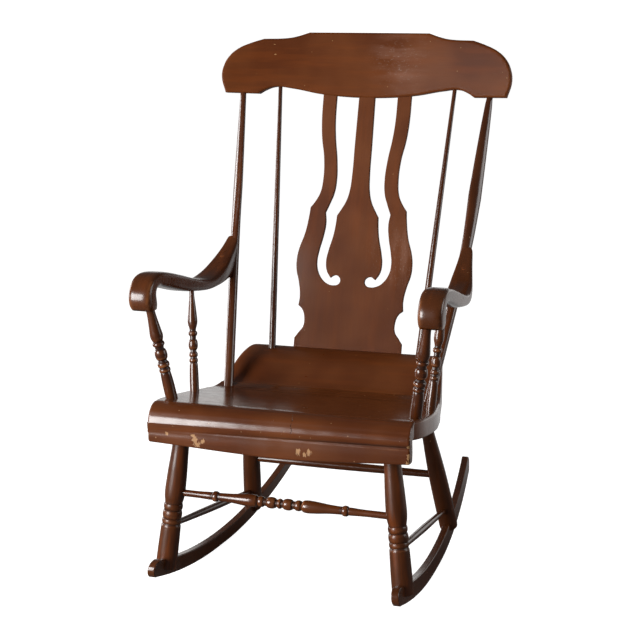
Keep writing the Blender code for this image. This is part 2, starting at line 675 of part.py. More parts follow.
clear_scene()
chair = new_collection("rocking_chair")
cutters = new_collection("cutters")
seat_outline = add_cutter("seat_plan", seat_plan())

make_front_roll()
seat_plank = make_plank()
seat_rise = make_back_rise()
crest = make_crest()
make_splat()

mortise(seat_rise, (-0.1165, -SPLAT_TENON), (0.1165, 0.030))
mortise(crest, (-0.0172, 0.50), (0.0172, SPLAT_TOP))
mortise(crest, (0.0666, 0.50), (0.0960, SPLAT_TOP))
mortise(crest, (-0.0960, 0.50), (-0.0666, SPLAT_TOP))

front_legs = {}
rear_legs = {}
for label, side in (("left", -1), ("right", 1)):
    make_post(label, side)
    make_back_spindle(label, side)
    arm = make_arm(label, side)
    make_plug(label, side, arm)
    make_front_arm_spindle(label, side, arm)
    make_rear_arm_spindle(label, side, arm)
    slot = make_runner(label, side)
    front_legs[label] = make_front_leg(label, side, slot)
    rear_legs[label] = make_rear_leg(label, side, slot)
    make_side_stretcher(label, side)

make_front_stretcher()
make_back_stretcher()
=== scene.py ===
"""The looks of a painted wooden rocking chair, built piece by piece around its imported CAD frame.

Every piece is rebuilt with fine, rounded geometry in the place that its CAD node holds, and rides on the
one rigid body. Each mesh carries two attributes that its paint reads: "grain" (metres, with Z along the
wood's grain) and "relief" (above zero on worn crowns and edges, below zero in grooves that hold dirt).
"""
import math

import bmesh
import bpy
import numpy as np
from mathutils import Matrix, Vector


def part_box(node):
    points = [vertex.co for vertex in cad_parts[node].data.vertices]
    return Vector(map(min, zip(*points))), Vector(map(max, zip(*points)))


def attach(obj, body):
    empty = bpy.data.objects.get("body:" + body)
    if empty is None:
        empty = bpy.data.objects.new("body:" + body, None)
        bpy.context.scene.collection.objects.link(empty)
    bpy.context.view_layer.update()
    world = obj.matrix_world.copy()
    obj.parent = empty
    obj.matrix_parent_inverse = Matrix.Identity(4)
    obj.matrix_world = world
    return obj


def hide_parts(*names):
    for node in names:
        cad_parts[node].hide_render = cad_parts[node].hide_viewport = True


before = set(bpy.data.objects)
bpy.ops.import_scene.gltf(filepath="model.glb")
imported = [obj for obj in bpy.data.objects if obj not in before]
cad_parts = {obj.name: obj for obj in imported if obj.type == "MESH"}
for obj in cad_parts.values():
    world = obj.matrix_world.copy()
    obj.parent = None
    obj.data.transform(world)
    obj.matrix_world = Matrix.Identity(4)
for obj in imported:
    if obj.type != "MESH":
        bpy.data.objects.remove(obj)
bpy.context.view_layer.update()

BODY = "root"
LATHE_SIDES = 48

# Crest rail: the outline's foot, how it leans back and how its ends come forward.
CREST_HALF_THICKNESS = 0.011
CREST_LEAN = math.radians(8.0)
CREST_BOW = 0.038
CREST_BOW_SPAN = 0.3

SPLAT_SLOPE = 0.2763
SPLAT_HALF_THICKNESS = 0.00425

# Runners: the flat between the sole's two arcs, and the arc along the top as its lowest point and radius.
RUNNER_HALF_THICKNESS = 0.00725
RUNNER_TOE_IN = 0.045
RUNNER_LEAN = 0.12
SOLE_FLAT = (-0.065, -0.030)
SOLE_FRONT_RADIUS = 1.13
SOLE_BACK_RADIUS = 0.98
RUNNER_TOP = (-0.052, 0.0295)
RUNNER_TOP_RADIUS = 1.09

# How far the front stretcher's turning sits from the middle of its length.
STRETCHER_SHIFT = -0.007

# The way an arm's plug faces, square to the top of the tail.
PLUG_FACING = (0.0, -0.518, 0.855)

PLANK_FRONT = -0.3026
PLANK_BACK = -0.0132
RISE_FRONT = -0.0128

# Front roll: its ends, its fascia's foot there, how far the foot sags along its length as (x, sag), and
# how far the moulding line climbs from the left end, where it fades out, to the right end.
ROLL_ENDS = (-0.2565, 0.2525)
ROLL_FOOT_Z = 0.2985
ROLL_SAG = [(-0.2565, 0.0030), (-0.200, 0.0055), (-0.100, 0.0108), (0.0, 0.0140), (0.100, 0.0110),
            (0.200, 0.0055), (0.2525, 0.0030)]
MOULDING_CLIMB = 0.006

# Posts: flattened above the bend, with the flat turned outwards. Stations are (height, half-width,
# half-depth).
POST_TURN = math.radians(40.0)
POST_STATIONS = [(0.3176, 0.0098, 0.0098), (0.3570, 0.0098, 0.0098), (0.4550, 0.0103, 0.0098),
                 (0.5730, 0.0108, 0.0092), (0.6220, 0.0112, 0.0088), (0.6720, 0.0128, 0.0076),
                 (0.7220, 0.0145, 0.0070), (0.7930, 0.0124, 0.0066), (0.8590, 0.0100, 0.0061),
                 (0.9020, 0.0078, 0.0060), (0.9130, 0.0063, 0.0063), (0.9340, 0.0063, 0.0063)]

# Camera: place, bearing and downward tilt, and a long lens.
CAMERA_PLACE = (0.944, -3.002, 1.122)
CAMERA_BEARING = math.radians(17.87)
CAMERA_TILT = math.radians(11.5)
CAMERA_LENS = 90.0

# Softboxes: name, place, target, size and power in watts.
SOFTBOXES = [
    ("window", (-1.85, -2.6, 0.97), (0.0, -0.1, 0.55), (1.5, 1.7), 155.0),
    ("side_window", (-2.75, 0.6, 1.0), (0.0, 0.0, 0.6), (0.7, 1.7), 32.0),
    ("fill", (2.8, 0.5, 1.4), (0.0, 0.0, 0.5), (1.6, 1.6), 28.0),
]

# The backdrop's bearing from the chair, and how bright its low band is against everything around it.
BACKDROP_BEARING = (-0.55, 0.85, 0.0)
BACKDROP_GLOW = 1.1
ROOM_GLOW = 0.08

# Paint colours, linear: sound paint, grime, paint rubbed thin, pale smears that are partly a painted sheen,
# scratches and bare timber.
BROWN = (0.150, 0.0435, 0.0120)
DIRT = (0.012, 0.0040, 0.0020)
WORN = (0.270, 0.0950, 0.0300)
PALE_SMEAR_AND_SHEEN = (0.330, 0.1750, 0.1250)
SCRATCHED = (0.550, 0.4500, 0.3800)
BARE_WOOD = (0.440, 0.2300, 0.0950)


# ---------------------------------------------------------------- reading the frame

def section(node, axis, level):
    """Centre and half-size of a CAD node's cross-section where world axis 0, 1 or 2 has this value."""
    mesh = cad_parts[node].data
    points = np.array([vertex.co[:] for vertex in mesh.vertices])
    pairs = np.array([edge.vertices[:] for edge in mesh.edges])
    start, end = points[pairs[:, 0]], points[pairs[:, 1]]
    before, after = start[:, axis] - level, end[:, axis] - level
    cut = before * after < 0
    share = (before / (before - after + 1e-12))[cut, None]
    hits = start[cut] + (end[cut] - start[cut]) * share
    low, high = hits.min(0), hits.max(0)
    return Vector((low + high) / 2), Vector((high - low) / 2)


def tips(node, axis, levels, radii):
    """The two ends of a straight round CAD node, found from its sections at two levels."""
    low_end, high_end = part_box(node)
    first, second = (section(node, axis, level)[0] for level in levels)
    direction = (second - first).normalized()
    slope = math.sqrt(1.0 - direction[axis] ** 2)
    low = low_end[axis] + radii[0] * slope
    high = high_end[axis] - radii[1] * slope
    reach = direction / direction[axis]
    return first + reach * (low - first[axis]), first + reach * (high - first[axis])


def fit_to(points, node):
    """Stretch and shift points so that their box is exactly the CAD node's box."""
    low, high = (np.array(corner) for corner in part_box(node))
    size = points.max(0) - points.min(0)
    return low + (points - points.min(0)) * (high - low) / size


# ---------------------------------------------------------------- meshes

def add_piece(node, mesh, grain, relief, material):
    """Turn a mesh into the piece that stands for a CAD node of the same name."""
    mesh.name = node
    layer = mesh.attributes.new("grain", "FLOAT_VECTOR", "POINT")
    layer.data.foreach_set("vector", np.asarray(grain, np.float32).ravel())
    layer = mesh.attributes.new("relief", "FLOAT", "POINT")
    layer.data.foreach_set("value", np.asarray(relief, np.float32).ravel())
    mesh.polygons.foreach_set("use_smooth", [True] * len(mesh.polygons))
    mesh.set_sharp_from_angle(angle=math.radians(50.0))
    mesh.materials.append(material)
    piece = bpy.data.objects.new("visual_" + node, mesh)
    bpy.context.scene.collection.objects.link(piece)
    weighted = piece.modifiers.new("normals", "WEIGHTED_NORMAL")
    weighted.keep_sharp = True
    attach(piece, BODY)
    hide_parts(node)


def mesh_of(points, faces):
    mesh = bpy.data.meshes.new("piece")
    mesh.from_pydata([tuple(point) for point in points], [], faces)
    work = bmesh.new()
    work.from_mesh(mesh)
    bmesh.ops.recalc_face_normals(work, faces=work.faces)
    work.to_mesh(mesh)
    work.free()
    return mesh


def skin_faces(rings, around):
    """Quads over rings of equal length, with one face closing each end."""
    faces = [tuple(range(around)), tuple(range((rings - 1) * around, rings * around))]
    for first in range(0, (rings - 1) * around, around):
        for step in range(around):
            after = (step + 1) % around
            faces.append((first + step, first + after, first + around + after, first + around + step))
    return faces


def smooth_path(points, spacing):
    """A Catmull-Rom curve through the points, sampled about every `spacing`, of any dimension."""
    points = np.array(points, float)
    padded = np.vstack([2 * points[0] - points[1], points, 2 * points[-1] - points[-2]])
    made = []
    for index in range(1, len(padded) - 2):
        before, start, end, after = padded[index - 1:index + 3]
        count = max(1, int(round(np.linalg.norm(end - start) / spacing)))
        for t in np.arange(count) / count:
            made.append(0.5 * (2 * start + (end - before) * t
                               + (2 * before - 5 * start + 4 * end - after) * t ** 2
                               + (3 * start - before - 3 * end + after) * t ** 3))
    made.append(points[-1])
    return np.array(made)


def bead(middle, half, low, high):
    """A half-round ring on a turning: `low` is the radius at its foot and `high` at its crown."""
    turns = np.linspace(0, math.pi, 11)
    return [(middle + half * math.cos(turn), low + (high - low) * math.sin(turn)) for turn in turns]


def curve(*stations):
    return [tuple(pair) for pair in smooth_path(stations, 0.003)]


def relief_of(distances, radii, reach=0.006):
    """How far each station of a profile stands above its neighbourhood, as about -1 to 1."""
    level = np.array([radii[np.abs(distances - here) < reach].mean() for here in distances])
    return np.clip((radii - level) / 0.0012, -1, 1)


def turn_on_lathe(node, top, bottom, profile, material):
    """A turned piece from `top` to `bottom`; the profile is (distance from the top, radius)."""
    distances, radii = np.array(profile).T
    length = (bottom - top).length
    distances = np.concatenate([[0.0], np.clip(distances, 0.0005, length - 0.0005), [length]])
    radii = np.concatenate([radii[:1] * 0.97, radii, radii[-1:] * 0.97])
    down = (bottom - top).normalized()
    across = down.orthogonal().normalized()
    along = down.cross(across)
    turns = np.linspace(0, 2 * math.pi, LATHE_SIDES, endpoint=False)
    rim = np.stack([np.cos(turns), np.sin(turns)], 1)
    flat = radii[:, None, None] * rim
    grain = np.concatenate([flat, np.broadcast_to(distances[:, None, None], flat.shape[:2] + (1,))], 2)
    basis = np.array([across, along, down])
    points = np.array(top) + grain.reshape(-1, 3) @ basis
    relief = np.repeat(relief_of(distances, radii), LATHE_SIDES)
    mesh = mesh_of(points, skin_faces(len(radii), LATHE_SIDES))
    add_piece(node, mesh, grain.reshape(-1, 3), relief, material)


def sweep_rod(node, centres, widths, depths, flat, material):
    """A bent rod of oval section through the centres, its wide side lying along `flat`."""
    tangents = np.gradient(centres, axis=0)
    tangents /= np.linalg.norm(tangents, axis=1)[:, None]
    lengths = np.concatenate([[0], np.cumsum(np.linalg.norm(np.diff(centres, axis=0), axis=1))])
    wide = np.array(flat) - tangents * (tangents @ np.array(flat))[:, None]
    wide /= np.linalg.norm(wide, axis=1)[:, None]
    deep = np.cross(tangents, wide)
    turns = np.linspace(0, 2 * math.pi, LATHE_SIDES, endpoint=False)
    across = widths[:, None, None] * np.cos(turns)[None, :, None]
    back = depths[:, None, None] * np.sin(turns)[None, :, None]
    points = centres[:, None] + across * wide[:, None] + back * deep[:, None]
    heights = np.broadcast_to(lengths[:, None, None], points.shape[:2] + (1,))
    grain = np.concatenate([across, back, heights], 2)
    mesh = mesh_of(points.reshape(-1, 3), skin_faces(len(centres), LATHE_SIDES))
    add_piece(node, mesh, grain.reshape(-1, 3), np.zeros(points.shape[:2]), material)


def board_mesh(outline, half_thickness, rounding, steps=8):
    """A board in the local XY plane with eased edges: smooth at (u, v) and a corner at (u, v, 1)."""
    data = bpy.data.curves.new("board", "CURVE")
    data.dimensions = "2D"
    data.fill_mode = "BOTH"
    data.resolution_u = steps
    data.extrude = half_thickness - rounding
    data.bevel_depth = rounding
    data.bevel_resolution = 3
    data.offset = -rounding
    spline = data.splines.new("BEZIER")
    spline.bezier_points.add(len(outline) - 1)
    spline.use_cyclic_u = True
    for knot, point in zip(spline.bezier_points, outline):
        kind = "VECTOR" if len(point) == 3 else "AUTO"
        knot.co = (point[0], point[1], 0.0)
        knot.handle_left_type = kind
        knot.handle_right_type = kind
    carrier = bpy.data.objects.new("carrier", data)
    bpy.context.scene.collection.objects.link(carrier)
    graph = bpy.context.evaluated_depsgraph_get()
    mesh = bpy.data.meshes.new_from_object(carrier.evaluated_get(graph))
    bpy.data.objects.remove(carrier, do_unlink=True)
    work = bmesh.new()
    work.from_mesh(mesh)
    bmesh.ops.remove_doubles(work, verts=work.verts, dist=0.00001)
    bmesh.ops.recalc_face_normals(work, faces=work.faces)
    work.to_mesh(mesh)
    work.free()
    return mesh


def slice_across(mesh, levels, normal=(1, 0, 0)):
    """Cut a mesh's long faces at these levels along a local axis, so that it can bend smoothly."""
    work = bmesh.new()
    work.from_mesh(mesh)
    for level in levels:
        everything = work.verts[:] + work.edges[:] + work.faces[:]
        bmesh.ops.bisect_plane(work, geom=everything, dist=0.000001,
                               plane_co=[level * part for part in normal], plane_no=normal)
    work.to_mesh(mesh)
    work.free()


def points_of(mesh):
    return np.array([vertex.co[:] for vertex in mesh.vertices])


def edge_relief(depth, half_thickness, rounding):
    """Relief across a board's thickness: wear on the rounded arrises, a little on the edge itself."""
    inward = half_thickness - np.abs(depth)
    arris = np.clip(1 - np.abs(inward - rounding / 2) / (rounding / 2), 0, 1)
    return np.where(inward > rounding, 0.15, arris)


def place_board(node, mesh, world, grain, relief, material):
    mesh.vertices.foreach_set("co", np.asarray(fit_to(world, node), np.float32).ravel())
    mesh.update()
    work = bmesh.new()
    work.from_mesh(mesh)
    bmesh.ops.recalc_face_normals(work, faces=work.faces)
    work.to_mesh(mesh)
    work.free()
    add_piece(node, mesh, grain, relief, material)


def mirrored(half):
    """Close a half outline, drawn on the +u side, with its mirror image."""
    return half + [(-point[0],) + tuple(point[1:]) for point in reversed(half)]


# ---------------------------------------------------------------- paint

class Nodes:
    """Short calls for building one material's node tree."""

    def __init__(self, tree):
        self.tree = tree

    def add(self, kind, inputs=None, **settings):
        node = self.tree.nodes.new(kind)
        for name, value in settings.items():
            setattr(node, name, value)
        for name, value in (inputs or {}).items():
            self.feed(node.inputs[name], value)
        return node

    def feed(self, socket, value):
        if isinstance(value, bpy.types.NodeSocket):
            self.tree.links.new(value, socket)
        else:
            socket.default_value = value

    def math(self, operation, first, second=0.0, clamp=False):
        node = self.add("ShaderNodeMath", {0: first, 1: second}, operation=operation, use_clamp=clamp)
        return node.outputs[0]

    def times(self, first, second):
        return self.math("MULTIPLY", first, second)

    def plus(self, first, second):
        return self.math("ADD", first, second)

    def minus(self, first, second):
        return self.math("SUBTRACT", first, second)

    def most(self, first, second):
        return self.math("MAXIMUM", first, second)

    def step(self, value, low, high):
        """0 below `low`, 1 above `high` and smooth between them."""
        node = self.add("ShaderNodeMapRange", {"Value": value, "From Min": low, "From Max": high},
                        interpolation_type="SMOOTHSTEP")
        return node.outputs["Result"]

    def noise(self, vector, scale, detail=3.0, roughness=0.55):
        node = self.add("ShaderNodeTexNoise", {"Vector": vector, "Scale": scale, "Detail": detail,
                                               "Roughness": roughness})
        return node.outputs["Fac"]

    def stretch(self, vector, scale, shift=(0.0, 0.0, 0.0)):
        node = self.add("ShaderNodeMapping", {"Vector": vector, "Scale": scale, "Location": shift})
        return node.outputs[0]

    def distance(self, first, second):
        node = self.add("ShaderNodeVectorMath", {0: first, 1: second}, operation="DISTANCE")
        return node.outputs["Value"]

    def line_distance(self, point, start, end):
        """How far a point is from the straight stretch between two fixed points."""
        reach = Vector(end) - Vector(start)
        offset = self.add("ShaderNodeVectorMath", {0: point, 1: start}, operation="SUBTRACT").outputs[0]
        share = self.add("ShaderNodeVectorMath", {0: offset, 1: reach / reach.length_squared},
                         operation="DOT_PRODUCT").outputs["Value"]
        share = self.math("ADD", share, 0.0, clamp=True)
        nearest = self.add("ShaderNodeVectorMath", {0: reach, "Scale": share}, operation="SCALE").outputs[0]
        return self.distance(offset, nearest)

    def mix(self, share, first, second):
        node = self.add("ShaderNodeMix", data_type="RGBA")
        self.feed(node.inputs["Factor"], share)
        for socket, value in ((node.inputs[6], first), (node.inputs[7], second)):
            self.feed(socket, value if isinstance(value, bpy.types.NodeSocket) else (*value, 1.0))
        return node.outputs[2]


def tinted(colour, factors):
    return tuple(value * factor for value, factor in zip(colour, factors))


def brushed_colour(nodes, place, brush, tone_and_shade, streaks):
    """Brown paint, uneven in clouds and brush marks, with redder wood showing in streaks."""
    # The whole brown is first scaled per piece: partly the paint's own tone, partly painted shade.
    brown = tinted(BROWN, (tone_and_shade, tone_and_shade, tone_and_shade))
    deep = tinted(brown, (0.62, 0.52, 0.45))
    warm = tinted(brown, (1.55, 1.25, 0.75))
    cloud = nodes.noise(place, 7.0, 2.0)
    streak = nodes.noise(nodes.stretch(place, (1.0, 1.0, 0.10)), 75.0, 3.0)
    colour = nodes.mix(nodes.step(cloud, 0.30, 0.72), deep, brown)
    colour = nodes.mix(nodes.times(nodes.step(brush, 0.35, 0.75), 0.22), colour, deep)
    return nodes.mix(nodes.times(nodes.step(streak, 0.45, 0.72), streaks), colour, warm)


def chipped(nodes, place, relief, chips):
    """Ragged patches with no paint, mostly along the worn edges."""
    edge = nodes.times(nodes.step(relief, 0.3, 0.9), chips)
    threshold = nodes.minus(0.83, nodes.times(edge, 0.28))
    return nodes.step(nodes.minus(nodes.noise(place, 140.0, 2.0), threshold), 0.0, 0.02)


def flecked(nodes, place, specks):
    """Small round pale flecks, in a share of the cells of a cell pattern."""
    cells = nodes.add("ShaderNodeTexVoronoi", {"Vector": place, "Scale": 85.0})
    dots = nodes.step(nodes.times(cells.outputs["Distance"], -1.0), -0.11, -0.07)
    draw = nodes.add("ShaderNodeSeparateColor", {0: cells.outputs["Color"]}).outputs[0]
    chosen = nodes.step(draw, 1.0 - specks * 0.3, 1.01 - specks * 0.3)
    return nodes.times(nodes.times(dots, chosen), 0.75)


def nicked(nodes, grain, speck, point, radius):
    """One ragged nick, a little longer along the grain than across it."""
    across, depth, along = point
    apart = nodes.distance(nodes.stretch(grain, (1.0, 1.0, 0.6)), (across, depth, along * 0.6))
    ragged = nodes.plus(apart, nodes.times(nodes.minus(speck, 0.5), radius * 2.4))
    return nodes.minus(1.0, nodes.step(ragged, radius * 0.7, radius))


def cracked(nodes, grain, speck, start, end):
    """One hairline crack between two points, wavering slightly."""
    waver = nodes.times(nodes.math("ABSOLUTE", nodes.minus(speck, 0.5)), 0.004)
    apart = nodes.plus(nodes.line_distance(grain, start, end), waver)
    return nodes.minus(1.0, nodes.step(apart, 0.0003, 0.0011))


def add_scuff_and_sheen(nodes, grain, place, colour, rough, point, radius):
    """Colour and roughness with fine scratches and pale smears added around a point; the smears are partly a
    painted sheen.
    """
    near = nodes.minus(1.0, nodes.step(nodes.distance(grain, point), radius * 0.2, radius))
    scratch = nodes.noise(nodes.stretch(place, (1.0, 1.0, 0.35)), 420.0, 4.0, 0.7)
    scratch = nodes.times(near, nodes.step(scratch, 0.56, 0.70))
    # The pale smears are partly a painted sheen: lighter paint where a broad reflection would show.
    smear_and_sheen = nodes.step(nodes.noise(nodes.stretch(place, (1.0, 1.0, 0.22)), 48.0, 2.0), 0.38, 0.68)
    colour = nodes.mix(nodes.times(nodes.times(near, smear_and_sheen), 0.25), colour, PALE_SMEAR_AND_SHEEN)
    colour = nodes.mix(nodes.times(scratch, 0.18), colour, SCRATCHED)
    return colour, nodes.plus(rough, nodes.times(near, 0.10))


# Each piece's brown is scaled by the third argument: partly the paint's own tone, partly painted shade,
# which makes the arms, posts, spindles and legs darker than the boards, as if less light reached them.
def paint(name, seed, tone_and_shade=1.0, wear=0.35, chips=0.15, dirt=0.6, specks=0.3, gloss=1.0, streaks=0.2,
          nicks=(), cracks=(), scuff_and_sheen=None):
    """Old gloss paint brushed along the grain, rubbed on its crowns, chipped and dirty in its grooves.

    In grain coordinates, `nicks` are (point, radius) marks of bare wood, `cracks` are (start, end) lines and
    the last argument is a (point, radius) of scratches and of pale smears that are partly a painted sheen.
    `specks` is the share of pale paint flecks, `gloss` below 1 is paint gone dull, and `streaks` is how much
    redder wood shows along the grain.
    """
    material = bpy.data.materials.new(name + "_paint")
    material.use_nodes = True
    nodes = Nodes(material.node_tree)
    surface = material.node_tree.nodes["Principled BSDF"]
    grain = nodes.add("ShaderNodeAttribute", attribute_name="grain").outputs["Vector"]
    relief = nodes.add("ShaderNodeAttribute", attribute_name="relief").outputs["Fac"]
    place = nodes.stretch(grain, (1.0, 1.0, 1.0), (seed * 1.7, seed * 0.9, seed * 2.3))
    blotch = nodes.noise(place, 45.0, 3.0)
    brush = nodes.noise(nodes.stretch(place, (1.0, 1.0, 0.045)), 620.0, 2.0)
    speck = nodes.noise(place, 330.0, 2.0)

    rubbed = nodes.times(nodes.step(relief, 0.25, 1.0), nodes.step(blotch, 0.38, 0.66))
    hollow = nodes.times(nodes.step(nodes.times(relief, -1.0), 0.05, 0.8), dirt)
    bare = nodes.most(chipped(nodes, place, relief, chips), flecked(nodes, place, specks))
    for point, radius in nicks:
        bare = nodes.most(bare, nicked(nodes, grain, speck, point, radius))
    split = 0.0
    for start, end in cracks:
        split = nodes.most(split, cracked(nodes, grain, speck, start, end))

    colour = brushed_colour(nodes, place, brush, tone_and_shade, streaks)
    colour = nodes.mix(nodes.times(rubbed, wear), colour, WORN)
    colour = nodes.mix(hollow, colour, DIRT)
    colour = nodes.mix(bare, colour, nodes.mix(speck, BARE_WOOD, tinted(BARE_WOOD, (0.6, 0.6, 0.6))))
    colour = nodes.mix(nodes.times(split, 0.85), colour, DIRT)
    rough = nodes.plus(0.50 - 0.33 * gloss, nodes.times(blotch, 0.14))
    rough = nodes.plus(rough, nodes.times(hollow, 0.25))
    if scuff_and_sheen:
        colour, rough = add_scuff_and_sheen(nodes, grain, place, colour, rough, *scuff_and_sheen)
    rough = nodes.plus(rough, nodes.times(bare, 0.35))

    height = nodes.plus(nodes.times(brush, 0.00005), nodes.times(blotch, 0.00022))
    height = nodes.plus(height, nodes.times(nodes.noise(place, 16.0, 1.0), 0.0009))
    height = nodes.minus(height, nodes.times(bare, 0.00025))
    height = nodes.minus(height, nodes.times(split, 0.0006))
    bump = nodes.add("ShaderNodeBump", {"Height": height, "Strength": 1.0, "Distance": 1.0})

    nodes.feed(surface.inputs["Base Color"], colour)
    nodes.feed(surface.inputs["Roughness"], rough)
    nodes.feed(surface.inputs["Normal"], bump.outputs["Normal"])
    surface.inputs["Specular IOR Level"].default_value = 0.45 * gloss
    surface.inputs["Coat Weight"].default_value = 0.3 * gloss
    surface.inputs["Coat Roughness"].default_value = 0.10
    return material


# ---------------------------------------------------------------- seat

# The seat's lines from front to back: (depth, height) above and below, and (depth, half-width) in plan.
SEAT_TOP = [(-0.3030, 0.3690), (-0.2970, 0.3688), (-0.2860, 0.3675), (-0.2360, 0.3603), (-0.1560, 0.3500),
            (-0.0650, 0.3396), (-0.0400, 0.3374), (-0.0130, 0.3414), (0.0100, 0.3520), (0.0350, 0.3705),
            (0.0600, 0.3855), (0.0850, 0.3950), (0.1050, 0.3980), (0.1190, 0.3930), (0.1250, 0.3810)]
SEAT_UNDER = [(-0.3030, 0.3330), (-0.0650, 0.3036), (-0.0130, 0.3025), (0.0300, 0.3025), (0.0720, 0.3070),
              (0.1050, 0.3220), (0.1190, 0.3400), (0.1250, 0.3560)]
SEAT_HALF_WIDTH = [(-0.3030, 0.2505), (-0.2900, 0.2560), (-0.2720, 0.2602), (-0.2450, 0.2625),
                   (-0.1900, 0.2625), (-0.1450, 0.2590), (-0.1100, 0.2530), (-0.0570, 0.2430),
                   (-0.0080, 0.2320), (0.0560, 0.2190), (0.0840, 0.2130), (0.1040, 0.2075), (0.1190, 0.1970),
                   (0.1250, 0.1830)]

# Marks on the front roll, as (depth, height, distance from its middle): chips with their radii, and cracks.
ROLL_NICKS = [((-0.3360, 0.3150, -0.1630), 0.0028), ((-0.3360, 0.3110, -0.1590), 0.0036),
              ((-0.3360, 0.3060, -0.1550), 0.0040), ((-0.3360, 0.3100, -0.1430), 0.0026),
              ((-0.3360, 0.3160, -0.2150), 0.0024), ((-0.3358, 0.3090, 0.0440), 0.0028),
              ((-0.3358, 0.3070, 0.0560), 0.0022), ((-0.3358, 0.3090, 0.0650), 0.0030),
              ((-0.3355, 0.3010, 0.2540), 0.0050), ((-0.3355, 0.3100, 0.2545), 0.0040),
              ((-0.3350, 0.3230, 0.2545), 0.0040), ((-0.3330, 0.3400, 0.2545), 0.0030)]
ROLL_CRACKS = [((-0.3155, 0.3657, 0.0270), (-0.3258, 0.3588, 0.0300)),
               ((-0.3258, 0.3588, 0.0300), (-0.3322, 0.3490, 0.0285)),
               ((-0.3322, 0.3490, 0.0285), (-0.3357, 0.3400, 0.0320)),
               ((-0.3357, 0.3400, 0.0320), (-0.3372, 0.3330, 0.0300))]

# A crack in the plank, in the same terms.
PLANK_CRACKS = [((-0.1080, 0.3442, 0.0295), (-0.1200, 0.3456, 0.0975))]


def follow(stations, y, spacing=0.002):
    path = smooth_path(stations, spacing)
    return np.interp(y, path[:, 0], path[:, 1])


def slab_ring(y, half_width, top, under, upper_edge, lower_edge):
    """One cross-section of a seat board: flat above and below, with rounded arrises."""
    turns = np.linspace(0, math.pi / 2, 7)
    upper = [(half_width - upper_edge * (1 - math.sin(turn)), top - upper_edge * 0.7 * (1 - math.cos(turn)))
             for turn in turns]
    lower = [(half_width - lower_edge * (1 - math.cos(turn)), under + lower_edge * (1 - math.sin(turn)))
             for turn in turns]
    flats = [(half_width * share, top) for share in (0.0, 0.3, 0.6, 0.9)]
    under_flats = [(half_width * share, under) for share in (0.9, 0.6, 0.3)]
    right = flats + upper + lower + under_flats
    marks = [0, 0, 0, 0] + [math.sin(2 * turn) for turn in turns] * 2 + [0, 0, 0]
    left = [(-x, z) for x, z in reversed(right[1:])]
    outline = right + [(0.0, under)] + left
    return [(x, y, z) for x, z in outline], marks + [0] + marks[:0:-1]


def make_slab(node, levels, upper_edge, material):
    rings, marks = [], []
    for y in levels:
        width, top, under = (follow(line, y) for line in (SEAT_HALF_WIDTH, SEAT_TOP, SEAT_UNDER))
        edge = min(upper_edge, (top - under) * 0.45)
        ring, mark = slab_ring(y, width, top, under, edge, min(0.003, edge))
        rings += ring
        marks += mark
    around = len(rings) // len(levels)
    points = np.array(rings)
    mesh = mesh_of(fit_to(points, node), skin_faces(len(levels), around))
    add_piece(node, mesh, points[:, [1, 2, 0]], marks, material)


def make_front_roll(material):
    """A half-round nosing over an upright fascia whose foot sags towards the middle."""
    foot = ROLL_FOOT_Z
    profile = [(-0.3030, 0.3690, 1), (-0.3155, 0.3657), (-0.3258, 0.3588), (-0.3322, 0.3490),
               (-0.3357, 0.3400), (-0.3372, 0.3330), (-0.3355, 0.3245), (-0.3335, 0.3208),
               (-0.3345, 0.3185), (-0.3355, 0.3160), (-0.3358, foot + 0.006), (-0.3345, foot + 0.0012),
               (-0.3310, foot), (-0.3160, foot), (-0.3130, foot + 0.003), (-0.3130, 0.3300, 1),
               (-0.3030, 0.3330, 1)]
    left, right = ROLL_ENDS
    half_length, rounding = (right - left) / 2, 0.0040
    mesh = board_mesh(profile, half_length, rounding)
    slice_across(mesh, [level * 0.025 for level in range(-10, 11)], (0, 0, 1))
    local = points_of(mesh)
    relief = 0.8 * edge_relief(local[:, 2], half_length, rounding) - 0.12
    depth, height = local[:, 0], local[:, 1]
    share = local[:, 2] / (right - left) + 0.5
    ledge = np.exp(-((height - 0.3170) / 0.0022) ** 2) * (depth < -0.330) * share
    groove = np.exp(-((height - 0.3225) / 0.0028) ** 2) * (depth < -0.330) * share
    foot_edge = np.exp(-((height - foot) / 0.003) ** 2) * (depth < -0.328)
    relief = np.maximum(relief, 0.75 * ledge) + 0.6 * foot_edge - 0.9 * groove
    world = local[:, [2, 0, 1]] + np.array([(left + right) / 2, 0.0, 0.0])
    sag = np.interp(world[:, 0], *smooth_path(ROLL_SAG, 0.01).T)
    world[:, 2] -= sag * np.clip((0.316 - height) / 0.012, 0, 1)
    face = (depth < -0.330) & (height < 0.3345) & (height > 0.3150)
    flush = -0.3358 - 0.08 * (height - 0.3160)
    world[:, 1] = np.where(face, flush + (depth - flush) * share, depth)
    world[:, 2] += MOULDING_CLIMB * share * np.interp(height, [0.304, 0.316, 0.334, 0.352], [0, 1, 1, 0])
    place_board("seat_front_roll", mesh, world, local, relief, material)


def make_seat():
    make_slab("seat_plank", np.linspace(PLANK_FRONT, PLANK_BACK, 60), 0.007,
              paint("seat_plank", 3, 0.85, wear=0.3, dirt=0.3, specks=0.5, cracks=PLANK_CRACKS))
    rear = [0.1258 - 0.018 * (1 - math.sin(turn)) for turn in np.linspace(0.15, math.pi / 2, 9)]
    make_slab("seat_back_rise", list(np.linspace(RISE_FRONT, 0.106, 36)) + rear, 0.012,
              paint("seat_back_rise", 4, 1.0, wear=0.35, gloss=0.8))
    make_front_roll(paint("seat_front_roll", 5, 0.84, wear=0.5, chips=0.5, specks=1.0, nicks=ROLL_NICKS,
                          cracks=ROLL_CRACKS))


# ---------------------------------------------------------------- crest rail and splat

